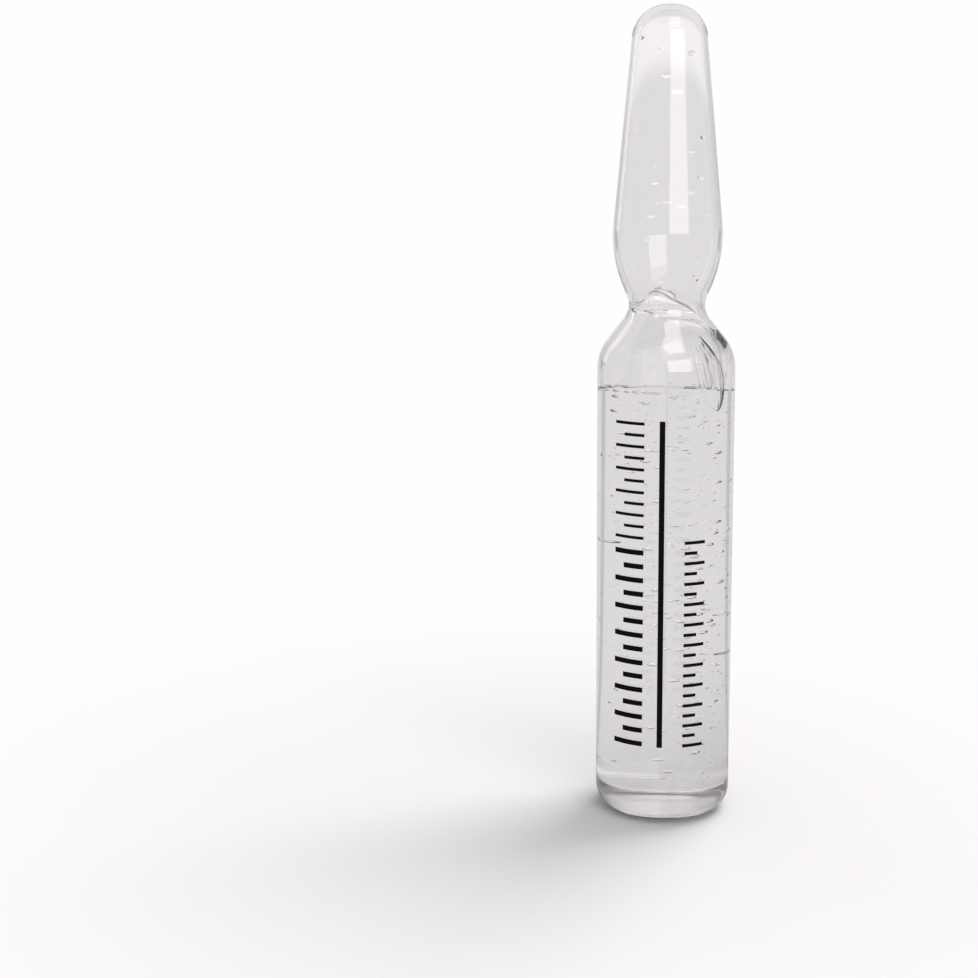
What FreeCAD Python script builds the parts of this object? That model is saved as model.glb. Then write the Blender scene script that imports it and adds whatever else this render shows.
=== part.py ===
import FreeCAD, Part
import math
import os

import Sketcher
from FreeCAD import Placement, Rotation, Vector

# A sealed glass ampoule that stands on its flat base and holds a clear serum.
# Millimetres. +Z is the axis, the origin is the centre of the base, and the print faces -Y.

SIZES = {
    # Outside of the glass, from the base up
    "body_radius": 5.375,
    "body_length": 35.85,
    "heel_radius": 1.8,
    "shoulder_radius": 3.67,
    "shoulder_angle": 38.9,
    "neck_radius": 2.957,
    "neck_hollow": 1.78,
    "bulb_rise": 5.55,
    "bulb_swell": 1.28,
    "bulb_curve": 3.0,
    "stem_length": 17.15,
    "tip_radius": 2.886,
    "crown_inset": 0.27,
    "crown_spread": 3.0,
    # Thickness of the glass
    "base_wall": 0.65,
    "body_wall": 0.45,
    "stem_wall": 0.3,
    "crown_wall": 0.45,
    # Serum, with a pocket of air in the shoulder and open air above the neck
    "fill_gap": 1.69,
    "fill_lean": 8.9,
    "meniscus_radius": 0.3,
    "pocket_radius": 4.5,
    "pocket_drop": 4.5,
    "pocket_shift": 0.37,
    "stem_air_over": 26.06,
    "stem_air_dip": 3.55,
    "stem_air_shift": 16.1,
    # Drops of serum left on the inner wall of the bulb and stem
    "drop_radius": 0.46,
    "drop_step": 0.02,
    "drop_sink": 0.07,
    # Print on the body: one long rule with a scale of plain marks each side
    "ink_thickness": 0.03,
    "print_foot": 6.5,
    "print_top_gap": 3.45,
    "rule_width": 0.43,
    "left_gap": 1.39,
    "left_long": 2.55,
    "left_short": 1.7,
    "right_gap": 1.81,
    "right_long": 1.72,
    "right_short": 1.05,
    "bold_zone": 16.65,
    "bold_stroke": 0.4,
    "bold_step": 1.1,
    "fine_stroke": 0.23,
    "fine_step": 0.89,
    "small_stroke": 0.25,
    "small_step": 0.815,
}
# Where the drops cling: how far up from the bulb's widest point, as a share of the stem's
# length, and the turn about the axis in degrees. They come in a few kinds, each a step smaller.
DROPS = [
    (0.85, -138),
    (0.78, -52),
    (0.69, -92),
    (0.62, -76),
    (0.42, -39),
    (0.25, -47),
    (0.19, -61),
    (0.09, -106),
]
DROP_KINDS = 3

FULL_TURN = 360.0
START, END, CENTRE = range(1, 4)
H_AXIS, V_AXIS = range(-1, -3, -1)
ORIGIN = (H_AXIS, START)
NECK_HEIGHT = "outer_form_outline.Constraints.neck_height"

# The outline of a sealed form, as sums of sizes. The cavity has the same outline, less the glass.
OUTER = {
    "foot": "",
    "body": "body_radius",
    "heel": "heel_radius",
    "shoulder": "shoulder_radius",
    "neck": "neck_radius",
    "hollow": "neck_hollow",
    "bulb": "neck_radius + bulb_swell",
    "curve": "bulb_curve",
    "stem": "stem_length",
    "corner": "tip_radius - crown_inset",
    "crown": "tip_radius - crown_inset + crown_spread",
}
CAVITY = {
    "foot": "base_wall",
    "body": "body_radius - body_wall",
    "heel": "heel_radius - body_wall",
    "shoulder": "shoulder_radius - body_wall",
    "neck": "neck_radius - body_wall",
    "hollow": "neck_hollow + body_wall",
    "bulb": "neck_radius + bulb_swell - stem_wall",
    "curve": "bulb_curve - stem_wall",
    "stem": "stem_length - crown_wall",
    "corner": "tip_radius - crown_inset - stem_wall",
    "crown": "tip_radius - crown_inset - stem_wall + crown_spread",
}

# The serum's level in the body, and the ball of air above it, which is wider than the stem
FILL_HEIGHT = "body_length - fill_gap"
STEM_AIR_RADIUS = "neck_radius + bulb_swell - stem_wall + stem_air_over"
# The top of the print, and the top of its bold marks
PRINT_TOP = "body_length - print_top_gap"
BOLD_TOP = "print_foot + bold_zone"
# Each zone of marks: its side, its stroke, its foot, its step and its top.
# Long marks and short marks take turns in it, one step apart.
ZONES = {
    "bold": ("left", "bold_stroke", "print_foot", "bold_step", BOLD_TOP),
    "fine": ("left", "fine_stroke", BOLD_TOP, "fine_step", PRINT_TOP),
    "small": ("right", "small_stroke", "print_foot", "small_step", BOLD_TOP),
}


def number(total):
    """The value of a sum of sizes, such as "body_radius - body_wall"."""
    value, sign = 0.0, 1.0
    for word in total.split():
        if word in "+-":
            sign = 1.0 if word == "+" else -1.0
        else:
            value += sign * SIZES[word]
    return value


def formula(total):
    """The same sum as an expression on the sheet's cells."""
    return " ".join(word if word in "+-" else "Sizes." + word for word in total.split())


def make_sheet(doc):
    """One row for each size: its name, its value, and an alias for the value's cell."""
    sheet = doc.addObject("Spreadsheet::Sheet", "Sizes")
    for row, (name, value) in enumerate(SIZES.items(), start=1):
        sheet.set(f"A{row}", name)
        sheet.set(f"B{row}", str(value))
        sheet.setAlias(f"B{row}", name)
    doc.recompute()


def add_body(doc, label):
    body = doc.addObject("PartDesign::Body", label)
    body.Label = label
    return body


def add_sketch(body, name):
    """A sketch on the body's own upright plane: its x is across, its y is the height."""
    sketch = body.newObject("Sketcher::SketchObject", name)
    plane = next(f for f in body.Origin.OriginFeatures if f.Role == "XZ_Plane")
    sketch.AttachmentSupport = (plane, [""])
    sketch.MapMode = "FlatFace"
    return sketch


def tie(sketch, name, total, kind, *places):
    """A dimension of the sketch that follows a sum of sizes."""
    row = sketch.addConstraint(Sketcher.Constraint(kind, *places, number(total)))
    sketch.renameConstraint(row, name)
    sketch.setExpression("Constraints." + name, formula(total))


def revolve(body, sketch, name):
    """A turn of the sketch round the upright axis, a full one unless its angle is set later."""
    turn = body.newObject("PartDesign::Revolution", name)
    turn.Profile = sketch
    turn.ReferenceAxis = (sketch, ["V_Axis"])
    turn.Angle = FULL_TURN
    return turn


def arc(centre, start, end):
    """An arc that runs anticlockwise from start to end."""
    radius = (start - centre).Length
    angles = [math.atan2(p.y - centre.y, p.x - centre.x) for p in (start, end)]
    if angles[1] < angles[0]:
        angles[1] += 2 * math.pi
    return Part.ArcOfCircle(Part.Circle(centre, Vector(0, 0, 1), radius), *angles)


def neck_points(v):
    """From the body's shoulder, down the cone and round the neck, to the bulb's widest point."""
    angle = math.radians(SIZES["shoulder_angle"])
    slope = Vector(-math.sin(angle), math.cos(angle))
    facing = Vector(math.cos(angle), math.sin(angle))
    shoulder = Vector(v["body"] - v["shoulder"], SIZES["body_length"])
    cone_low = shoulder + facing * v["shoulder"]
    neck_x = v["neck"] + v["hollow"]
    cone_length = (cone_low.x - neck_x + v["hollow"] * facing.x) / math.sin(angle)
    cone_high = cone_low + slope * cone_length
    neck = cone_high + facing * v["hollow"]
    swell = v["bulb"] - v["neck"]
    both_radii = (swell**2 + SIZES["bulb_rise"] ** 2) / (2 * swell)
    widest = Vector(v["bulb"], neck.y + SIZES["bulb_rise"])
    flank = Vector(v["bulb"] - (both_radii - v["hollow"]), widest.y)
    flank_low = neck + (flank - neck).normalize() * v["hollow"]
    return shoulder, cone_low, cone_high, neck, flank_low, flank, widest


def tip_points(v, widest):
    """From the bulb's widest point up the stem and over the domed tip."""
    bulb = Vector(v["bulb"] - v["curve"], widest.y)
    top = Vector(0, widest.y + v["stem"])
    crown = top - Vector(0, v["crown"])
    inset, spread = SIZES["crown_inset"], SIZES["crown_spread"]
    corner = crown + Vector(inset, math.sqrt(spread**2 - inset**2))
    along = (corner - bulb).normalize()
    cosine = (v["curve"] - v["corner"]) / (corner - bulb).Length
    facing = along * cosine + Vector(along.y, -along.x) * math.sqrt(1 - cosine**2)
    stem_low, stem_high = bulb + facing * v["curve"], corner + facing * v["corner"]
    crown_edge = crown + (corner - crown).normalize() * v["crown"]
    return bulb, stem_low, stem_high, corner, crown_edge, crown, top


def draw_outline(sketch, outline):
    """Half of a sealed form: base, heel, body, shoulder, neck, bulb, stem and domed tip."""
    v = {name: number(total) for name, total in outline.items()}
    shoulder, cone_low, cone_high, neck, flank_low, flank, widest = neck_points(v)
    bulb, stem_low, stem_high, corner, crown_edge, crown, top = tip_points(v, widest)
    middle, heel = Vector(0, v["foot"]), Vector(v["body"] - v["heel"], v["foot"] + v["heel"])
    heel_low, heel_high = Vector(heel.x, v["foot"]), Vector(v["body"], heel.y)
    body_top = Vector(v["body"], shoulder.y)
    shapes = {
        "base": Part.LineSegment(middle, heel_low),
        "heel": arc(heel, heel_low, heel_high),
        "wall": Part.LineSegment(heel_high, body_top),
        "shoulder": arc(shoulder, body_top, cone_low),
        "cone": Part.LineSegment(cone_low, cone_high),
        "hollow": arc(neck, flank_low, cone_high),
        "flank": arc(flank, flank_low, widest),
        "curve": arc(bulb, widest, stem_low),
        "stem": Part.LineSegment(stem_low, stem_high),
        "corner": arc(corner, stem_high, crown_edge),
        "crown": arc(crown, crown_edge, top),
        "axis": Part.LineSegment(top, middle),
    }
    rows = {name: sketch.addGeometry(shape) for name, shape in shapes.items()}
    join_outline(sketch, rows)
    size_outline(sketch, rows, outline)


def join_outline(sketch, rows):
    """The outline is smooth from its base to its tip, and closed by the axis."""
    smooth = [
        ("base", END, "heel", START),
        ("heel", END, "wall", START),
        ("wall", END, "shoulder", START),
        ("shoulder", END, "cone", START),
        ("cone", END, "hollow", END),
        ("hollow", START, "flank", START),
        ("flank", END, "curve", START),
        ("curve", END, "stem", START),
        ("stem", END, "corner", START),
        ("corner", END, "crown", START),
    ]
    for first, first_end, second, second_end in smooth:
        places = (rows[first], first_end, rows[second], second_end)
        sketch.addConstraint(Sketcher.Constraint("Tangent", *places))
    for first, second in (("crown", "axis"), ("axis", "base")):
        places = (rows[first], END, rows[second], START)
        sketch.addConstraint(Sketcher.Constraint("Coincident", *places))
    sketch.addConstraint(Sketcher.Constraint("Horizontal", rows["base"]))
    sketch.addConstraint(Sketcher.Constraint("Vertical", rows["wall"]))
    level = (rows["curve"], CENTRE, rows["curve"], START)
    sketch.addConstraint(Sketcher.Constraint("Horizontal", *level))
    for place in (END, CENTRE):
        sketch.addConstraint(Sketcher.Constraint("PointOnObject", rows["crown"], place, V_AXIS))


def size_outline(sketch, rows, outline):
    """Each dimension of the outline follows its sum of sizes."""
    if outline["foot"]:
        sketch.addConstraint(Sketcher.Constraint("PointOnObject", rows["base"], START, V_AXIS))
        tie(sketch, "foot", outline["foot"], "DistanceY", *ORIGIN, rows["base"], START)
    else:
        sketch.addConstraint(Sketcher.Constraint("Coincident", rows["base"], START, *ORIGIN))
    tie(sketch, "body", outline["body"], "DistanceX", *ORIGIN, rows["wall"], START)
    tie(sketch, "body_top", "body_length", "DistanceY", *ORIGIN, rows["wall"], END)
    for name in ("heel", "shoulder", "hollow", "curve", "corner", "crown"):
        tie(sketch, name + "_size", outline[name], "Radius", rows[name])
    lean = math.radians(SIZES["shoulder_angle"])
    row = sketch.addConstraint(Sketcher.Constraint("Angle", V_AXIS, rows["cone"], lean))
    sketch.renameConstraint(row, "lean")
    sketch.setExpression("Constraints.lean", "Sizes.shoulder_angle * 1 deg")
    neck_centre = outline["neck"] + " + " + outline["hollow"]
    tie(sketch, "neck", neck_centre, "DistanceX", *ORIGIN, rows["hollow"], CENTRE)
    tie(sketch, "bulb", outline["bulb"], "DistanceX", *ORIGIN, rows["flank"], END)
    rise = (rows["hollow"], CENTRE, rows["flank"], END)
    tie(sketch, "rise", "bulb_rise", "DistanceY", *rise)
    climb = (rows["flank"], END, rows["crown"], END)
    tie(sketch, "climb", outline["stem"], "DistanceY", *climb)
    tie(sketch, "inset", "crown_inset", "DistanceX", *ORIGIN, rows["corner"], CENTRE)
    neck_height = Sketcher.Constraint("DistanceY", *ORIGIN, rows["hollow"], CENTRE, 0.0)
    row = sketch.addConstraint(neck_height)
    sketch.setDriving(row, False)
    sketch.renameConstraint(row, "neck_height")


def make_sealed_form(doc, label, outline):
    """The solid inside an outline, as one turned body."""
    body = add_body(doc, label)
    sketch = add_sketch(body, label + "_outline")
    draw_outline(sketch, outline)
    revolve(body, sketch, label + "_turn")
    return body


def make_glass(doc, outer, cavity):
    """The sealed glass: the outer form less its cavity."""
    glass = doc.addObject("Part::Cut", "glass_ampoule")
    glass.Label = "glass_ampoule"
    glass.Base, glass.Tool = outer, cavity
    return glass


def add_ball(doc, name, radius, shift, height):
    """A ball of air whose centre lies to one side of the axis."""
    ball = doc.addObject("Part::Sphere", name)
    ball.setExpression("Radius", formula(radius))
    ball.setExpression("Placement.Base.x", shift)
    ball.setExpression("Placement.Base.z", height)
    return ball


def make_pocket(doc):
    """The air trapped in the shoulder: a ball cut off at the leaning fill, with a rounded rim."""
    centre = NECK_HEIGHT + " - Sizes.pocket_drop * 1 mm"
    ball = add_ball(doc, "pocket_ball", "pocket_radius", "-Sizes.pocket_shift", centre)
    above = doc.addObject("Part::Cylinder", "above_the_fill")
    above.Placement = Placement(Vector(), Rotation(Vector(-1, 0, 0), 1.0))
    above.setExpression("Placement.Rotation.Angle", "Sizes.fill_lean * 1 deg")
    above.setExpression("Radius", "3 * Sizes.body_radius")
    above.setExpression("Height", "Sizes.body_length")
    above.setExpression("Placement.Base.z", formula(FILL_HEIGHT))
    pocket = doc.addObject("Part::Common", "sharp_pocket")
    pocket.Base, pocket.Tool = ball, above
    doc.recompute()
    flat = min(pocket.Shape.Faces, key=lambda face: face.CenterOfMass.z)
    rim = next(row for row, edge in enumerate(pocket.Shape.Edges, 1) if edge.isSame(flat.Edges[0]))
    rounded = doc.addObject("Part::Fillet", "air_pocket")
    rounded.Base = pocket
    rounded.Edges = [(rim, SIZES["meniscus_radius"], SIZES["meniscus_radius"])]
    return rounded


def make_stem_air(doc):
    """The air of the bulb and stem: a wide ball that dips into the neck, and all that is above it."""
    centre = f"{NECK_HEIGHT} + ({formula(STEM_AIR_RADIUS)} - Sizes.stem_air_dip) * 1 mm"
    ball = add_ball(doc, "stem_air_ball", STEM_AIR_RADIUS, "Sizes.stem_air_shift", centre)
    column = doc.addObject("Part::Cylinder", "stem_air_column")
    column.setExpression("Radius", "2 * Sizes.body_radius")
    column.setExpression("Height", "Sizes.bulb_rise + Sizes.stem_length")
    column.setExpression("Placement.Base.z", centre)
    air = doc.addObject("Part::Fuse", "stem_air")
    air.Base, air.Tool = ball, column
    return air


def make_serum(doc, cavity):
    """The serum is all of the cavity that the air leaves, in one piece."""
    air = doc.addObject("Part::MultiFuse", "air")
    air.Shapes = [make_pocket(doc), make_stem_air(doc)]
    serum = doc.addObject("Part::Cut", "serum")
    serum.Label = "serum"
    serum.Base, serum.Tool = cavity, air
    return serum


def make_drops(doc, cavity, neck_height):
    """Flat drops that cling to the inner wall of the bulb and stem: balls sunk in the glass."""
    drops = []
    widest = neck_height + SIZES["bulb_rise"]
    for row, (share, turn) in enumerate(DROPS):
        out = Rotation(Vector(0, 0, 1), turn).multVec(Vector(1, 0, 0))
        middle = Vector(0, 0, widest + share * SIZES["stem_length"])
        ray = Part.makeLine(middle, middle + out * SIZES["body_radius"])
        wall = ray.common(cavity.Shape).Length
        radius = SIZES["drop_radius"] - SIZES["drop_step"] * (row % DROP_KINDS)
        centre = middle + out * (wall + SIZES["drop_sink"])
        ball = Part.makeSphere(radius, centre, out)
        drops.append(ball.common(cavity.Shape).Solids[0])
    feature = doc.addObject("Part::Feature", "serum_drops")
    feature.Label = "serum_drops"
    feature.Shape = Part.makeCompound(drops)
    feature.Placement = Placement()
    return feature


def draw_strip(sketch, foot, stroke):
    """The section of a strip of ink: from the glass out to the face of the ink."""
    low, high = number(foot), number(foot) + number(stroke)
    near, far = SIZES["body_radius"], SIZES["body_radius"] + SIZES["ink_thickness"]
    corners = [Vector(near, high), Vector(near, low), Vector(far, low), Vector(far, high)]
    sides = [Part.LineSegment(corners[k], corners[(k + 1) % 4]) for k in range(4)]
    back, bottom, face, top = sketch.addGeometry(sides)
    for first, second in ((back, bottom), (bottom, face), (face, top), (top, back)):
        sketch.addConstraint(Sketcher.Constraint("Coincident", first, END, second, START))
    for side in (bottom, top):
        sketch.addConstraint(Sketcher.Constraint("Horizontal", side))
    for side in (back, face):
        sketch.addConstraint(Sketcher.Constraint("Vertical", side))
    tie(sketch, "glass", "body_radius", "DistanceX", *ORIGIN, bottom, START)
    tie(sketch, "ink", "ink_thickness", "DistanceX", bottom, START, bottom, END)
    tie(sketch, "foot", foot, "DistanceY", *ORIGIN, bottom, START)
    tie(sketch, "stroke", stroke, "DistanceY", face, START, face, END)


def add_patch(body, name, foot, stroke, near_edge, width):
    """A patch of ink bent round the body, from its near edge, both as arc lengths from the front."""
    sketch = add_sketch(body, name + "_section")
    draw_strip(sketch, foot, stroke)
    degrees = "* 180 deg / pi / Sizes.body_radius"
    sketch.AttachmentOffset = Placement(Vector(), Rotation(Vector(0, 1, 0), 1.0))
    middle = f"-90 deg + ({near_edge} + {width} / 2) {degrees}"
    sketch.setExpression("AttachmentOffset.Rotation.Angle", middle)
    patch = revolve(body, sketch, name + "_patch")
    patch.Midplane = True
    patch.setExpression("Angle", f"{width} {degrees}")
    return sketch, patch


def repeat_up(body, name, sketch, patch, foot, stroke, step, top):
    """The patch again at every second step, for as long as it fits under the top of its zone."""
    row = body.newObject("PartDesign::LinearPattern", name + "_row")
    row.Originals = [patch]
    row.Direction = (sketch, ["V_Axis"])
    count = f"floor(({formula(top)} - ({formula(foot + ' + ' + stroke)})) / (2 * Sizes.{step})) + 1"
    row.setExpression("Occurrences", count)
    row.setExpression("Length", f"2 * Sizes.{step} * ({count} - 1)")
    body.Tip = row


def make_print(doc):
    """The long rule on the front of the body, and the rows of marks beside it."""
    body = add_body(doc, "print_marks")
    rule_stroke = PRINT_TOP + " - print_foot"
    add_patch(body, "rule", "print_foot", rule_stroke, "-Sizes.rule_width / 2", "Sizes.rule_width")
    for zone, (side, stroke, foot, step, top) in ZONES.items():
        for length, start in (("long", foot), ("short", foot + " + " + step)):
            name, width = f"{zone}_{length}", f"Sizes.{side}_{length}"
            near_edge = "Sizes.right_gap" if side == "right" else f"(-Sizes.left_gap - {width})"
            sketch, patch = add_patch(body, name, start, stroke, near_edge, width)
            doc.recompute()
            repeat_up(body, name, sketch, patch, start, stroke, step, top)
    return body


def check(doc, nodes, outer, cavity, glass):
    """Stop before anything is written if a feature failed, or a cut did not cut."""
    for item in doc.Objects:
        if "Invalid" in item.State or "Error" in item.State:
            raise RuntimeError(f"{item.Label} failed: {item.State}")
    for label, item in nodes.items():
        if item.Shape.isNull() or not item.Shape.isValid():
            raise RuntimeError(f"{label} has no valid shape")
        print(label, len(item.Shape.Solids), "solids", round(item.Shape.Volume, 3), "mm3")
    walls = outer.Shape.Volume - cavity.Shape.Volume
    if abs(glass.Shape.Volume - walls) > 1e-6 * walls:
        raise RuntimeError("the cavity is not wholly inside the glass")


def main():
    doc = FreeCAD.newDocument("glass_ampoule")
    make_sheet(doc)
    outer = make_sealed_form(doc, "outer_form", OUTER)
    cavity = make_sealed_form(doc, "cavity", CAVITY)
    glass = make_glass(doc, outer, cavity)
    serum = make_serum(doc, cavity)
    doc.recompute()
    neck_height = doc.getObject("outer_form_outline").getDatum("neck_height").Value
    drops = make_drops(doc, cavity, neck_height)
    marks = make_print(doc)
    doc.recompute()
    nodes = {item.Label: item for item in (glass, serum, drops, marks)}
    check(doc, nodes, outer, cavity, glass)
    os.makedirs("parts", exist_ok=True)
    for label, item in nodes.items():
        item.Shape.exportStep(f"parts/{label}.step")


main()
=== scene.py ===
import math
import random

import bmesh
import bpy
import numpy as np
from mathutils import Euler, Matrix, Vector, noise


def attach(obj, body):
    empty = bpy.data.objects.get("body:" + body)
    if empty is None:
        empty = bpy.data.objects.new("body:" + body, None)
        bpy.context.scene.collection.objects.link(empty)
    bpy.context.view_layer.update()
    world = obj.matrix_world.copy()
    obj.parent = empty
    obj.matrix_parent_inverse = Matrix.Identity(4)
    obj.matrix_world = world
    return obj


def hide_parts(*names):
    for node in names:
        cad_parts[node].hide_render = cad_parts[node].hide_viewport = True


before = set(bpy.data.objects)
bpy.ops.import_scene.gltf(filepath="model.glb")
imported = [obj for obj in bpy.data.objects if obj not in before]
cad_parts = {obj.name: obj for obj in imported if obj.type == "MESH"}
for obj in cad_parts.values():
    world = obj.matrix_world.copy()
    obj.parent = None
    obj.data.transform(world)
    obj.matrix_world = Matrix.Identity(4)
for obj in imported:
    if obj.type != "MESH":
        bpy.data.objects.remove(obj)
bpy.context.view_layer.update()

# A sealed glass ampoule with a bubbly clear serum, on a pale floor.
# The ampoule's lengths are in millimetres up to its meshes, which are in metres.
MM = 0.001

# Outside of the glass, as in the CAD part
BODY_RADIUS = 5.375
BODY_LENGTH = 35.85
HEEL_RADIUS = 1.8
SHOULDER_RADIUS = 3.67
SHOULDER_ANGLE = math.radians(38.9)
NECK_RADIUS = 2.957
NECK_HOLLOW = 1.78
BULB_RISE = 5.55
BULB_SWELL = 1.28
BULB_CURVE = 3.0
STEM_LENGTH = 17.15
TIP_RADIUS = 2.886
CROWN_INSET = 0.27
CROWN_SPREAD = 3.0
# Thickness of the glass
BASE_WALL = 0.65
BODY_WALL = 0.45
STEM_WALL = 0.3
CROWN_WALL = 0.45
# The serum's level in the body, which leans, and the rounding where it meets the pocket's wall
FILL_GAP = 1.69
FILL_LEAN = math.radians(8.9)
MENISCUS = 0.12
# The pocket of air above that level
POCKET_RADIUS = 4.5
POCKET_DROP = 4.5
POCKET_SHIFT = 0.47

# Fineness of the turned meshes
TURNS = 144
FEWEST_ARC_STEPS = 2
ARC_STEP = math.radians(5)
LINE_STEP = 0.8
# Faces that meet at more than this angle keep a sharp edge
SHARP = math.radians(50)
# Corners nearer than this are joined, and faces with more corners than this become triangles
WELD = 1e-4
MOST_CORNERS = 4
# The serum and its drops wet the glass: their faces lie this far inside it, so no gap shows
OVERLAP = 0.02


def arc(centre, radius, start, end):
    """Points of an arc about a centre, in the plane of radius and height, without its last point."""
    count = max(FEWEST_ARC_STEPS, round(abs(end - start) / ARC_STEP))
    turns = [start + (end - start) * k / count for k in range(count)]
    return [(centre[0] + radius * math.cos(a), centre[1] + radius * math.sin(a)) for a in turns]


def line(start, end):
    """Points of a straight stretch, without its last point."""
    count = max(1, round(math.dist(start, end) / LINE_STEP))
    shares = [k / count for k in range(count)]
    return [(start[0] + (end[0] - start[0]) * s, start[1] + (end[1] - start[1]) * s) for s in shares]


def neck_centre():
    """Centre of the neck's hollow, as radius and height. It is the same for the cavity."""
    shoulder_x = BODY_RADIUS - SHOULDER_RADIUS
    neck_x = NECK_RADIUS + NECK_HOLLOW
    both = SHOULDER_RADIUS + NECK_HOLLOW
    cone = (shoulder_x - neck_x + both * math.cos(SHOULDER_ANGLE)) / math.sin(SHOULDER_ANGLE)
    rise = both * math.sin(SHOULDER_ANGLE) + cone * math.cos(SHOULDER_ANGLE)
    return neck_x, BODY_LENGTH + rise


def body_outline(base_wall, body_wall):
    """From the middle of the base up to the end of the neck's cone."""
    body, heel = BODY_RADIUS - body_wall, HEEL_RADIUS - body_wall
    shoulder, hollow = SHOULDER_RADIUS - body_wall, NECK_HOLLOW + body_wall
    shoulder_x = body - shoulder
    neck_x, neck_y = neck_centre()
    facing = (math.cos(SHOULDER_ANGLE), math.sin(SHOULDER_ANGLE))
    points = line((0, base_wall), (body - heel, base_wall))
    points += arc((body - heel, base_wall + heel), heel, -math.pi / 2, 0)
    points += line((body, base_wall + heel), (body, BODY_LENGTH))
    points += arc((shoulder_x, BODY_LENGTH), shoulder, 0, SHOULDER_ANGLE)
    low = (shoulder_x + shoulder * facing[0], BODY_LENGTH + shoulder * facing[1])
    high = (neck_x - hollow * facing[0], neck_y - hollow * facing[1])
    return points + line(low, high)


def stem_outline(body_wall, stem_wall, crown_wall):
    """From the neck up the bulb and the stem to the top of the domed tip."""
    neck_x, neck_y = neck_centre()
    hollow = NECK_HOLLOW + body_wall
    bulb_x, bulb_y = NECK_RADIUS + BULB_SWELL - stem_wall, neck_y + BULB_RISE
    swell = bulb_x - (NECK_RADIUS - body_wall)
    flank = (swell**2 + BULB_RISE**2) / (2 * swell) - hollow
    rise = math.atan2(BULB_RISE, neck_x - (bulb_x - flank))
    curve = BULB_CURVE - stem_wall
    corner = TIP_RADIUS - CROWN_INSET - stem_wall
    crown = corner + CROWN_SPREAD
    top = bulb_y + STEM_LENGTH - crown_wall
    corner_y = top - crown + math.sqrt(CROWN_SPREAD**2 - CROWN_INSET**2)
    reach = (CROWN_INSET - (bulb_x - curve), corner_y - bulb_y)
    stem = math.asin((curve - corner) / math.hypot(*reach)) + math.atan2(-reach[0], reach[1])
    tip = math.acos(CROWN_INSET / CROWN_SPREAD)
    points = arc((neck_x, neck_y), hollow, math.pi + SHOULDER_ANGLE, math.pi - rise)
    points += arc((bulb_x - flank, bulb_y), flank, -rise, 0)
    points += arc((bulb_x - curve, bulb_y), curve, 0, stem)
    low = (bulb_x - curve + curve * math.cos(stem), bulb_y + curve * math.sin(stem))
    high = (CROWN_INSET + corner * math.cos(stem), corner_y + corner * math.sin(stem))
    points += line(low, high)
    points += arc((CROWN_INSET, corner_y), corner, stem, tip)
    points += arc((0, top - crown), crown, tip, math.pi / 2)
    return points + [(0.0, top)]


def outline(base_wall=0.0, body_wall=0.0, stem_wall=0.0, crown_wall=0.0):
    """Radius and height from the middle of the base to the tip, inside walls of those sizes."""
    return np.array(body_outline(base_wall, body_wall) + stem_outline(body_wall, stem_wall, crown_wall))


def swollen(profile, amount):
    """A profile moved out by an amount along its own normals."""
    along = np.gradient(profile, axis=0)
    along /= np.linalg.norm(along, axis=1, keepdims=True)
    moved = profile + amount * np.column_stack((along[:, 1], -along[:, 0]))
    moved[[0, -1], 0] = 0.0
    return moved


OUTER = outline()
CAVITY = outline(BASE_WALL, BODY_WALL, STEM_WALL, CROWN_WALL)
WETTED = swollen(CAVITY, OVERLAP)
NECK_HEIGHT = neck_centre()[1]
WIDEST_HEIGHT = NECK_HEIGHT + BULB_RISE
FILL_HEIGHT = BODY_LENGTH - FILL_GAP


def wall_radius(height, profile=CAVITY):
    """Radius of the cavity at a height above its rounded foot."""
    return np.interp(height, profile[:, 1], profile[:, 0])


def full_turn(count):
    """Turns spread evenly about an axis, in radians."""
    return [2 * math.pi * k / count for k in range(count)]


def around(radius, turn, height):
    """The point at a radius from the axis, a turn about it and a height."""
    return radius * math.cos(turn), radius * math.sin(turn), height


def skin(rings, bottom, top, inward=False):
    """Corners and faces of a closed skin: rings from the bottom up, and a point at each end."""
    size = len(rings[0])
    corners = [tuple(p) for ring in rings for p in ring] + [tuple(bottom), tuple(top)]
    low_end, high_end = len(corners) - 2, len(corners) - 1
    last = (len(rings) - 1) * size
    faces = []
    for near in range(size):
        far = (near + 1) % size
        for start in range(0, last, size):
            faces.append((start + near, start + far, start + size + far, start + size + near))
        faces.append((far, near, low_end))
        faces.append((last + near, last + far, high_end))
    if inward:
        faces = [face[::-1] for face in faces]
    return corners, faces


def turned(profile, inward=False):
    """A profile turned about the axis. Its first and last points are on the axis."""
    rings = [[around(r, a, z) for a in full_turn(TURNS)] for r, z in profile[1:-1]]
    return skin(rings, (0, 0, profile[0][1]), (0, 0, profile[-1][1]), inward)


def merged(solids):
    """One list of corners and one of faces from several."""
    corners, faces = [], []
    for more_corners, more_faces in solids:
        start = len(corners)
        corners += more_corners
        faces += [tuple(k + start for k in face) for face in more_faces]
    return corners, faces


def new_object(name, data):
    """A new object in the scene."""
    made = bpy.data.objects.new(name, data)
    bpy.context.scene.collection.objects.link(made)
    return made


def mesh_object(name, corners, faces):
    """A new mesh object from corners and faces."""
    mesh = bpy.data.meshes.new(name)
    mesh.from_pydata(corners, [], faces)
    return new_object(name, mesh)


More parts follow.
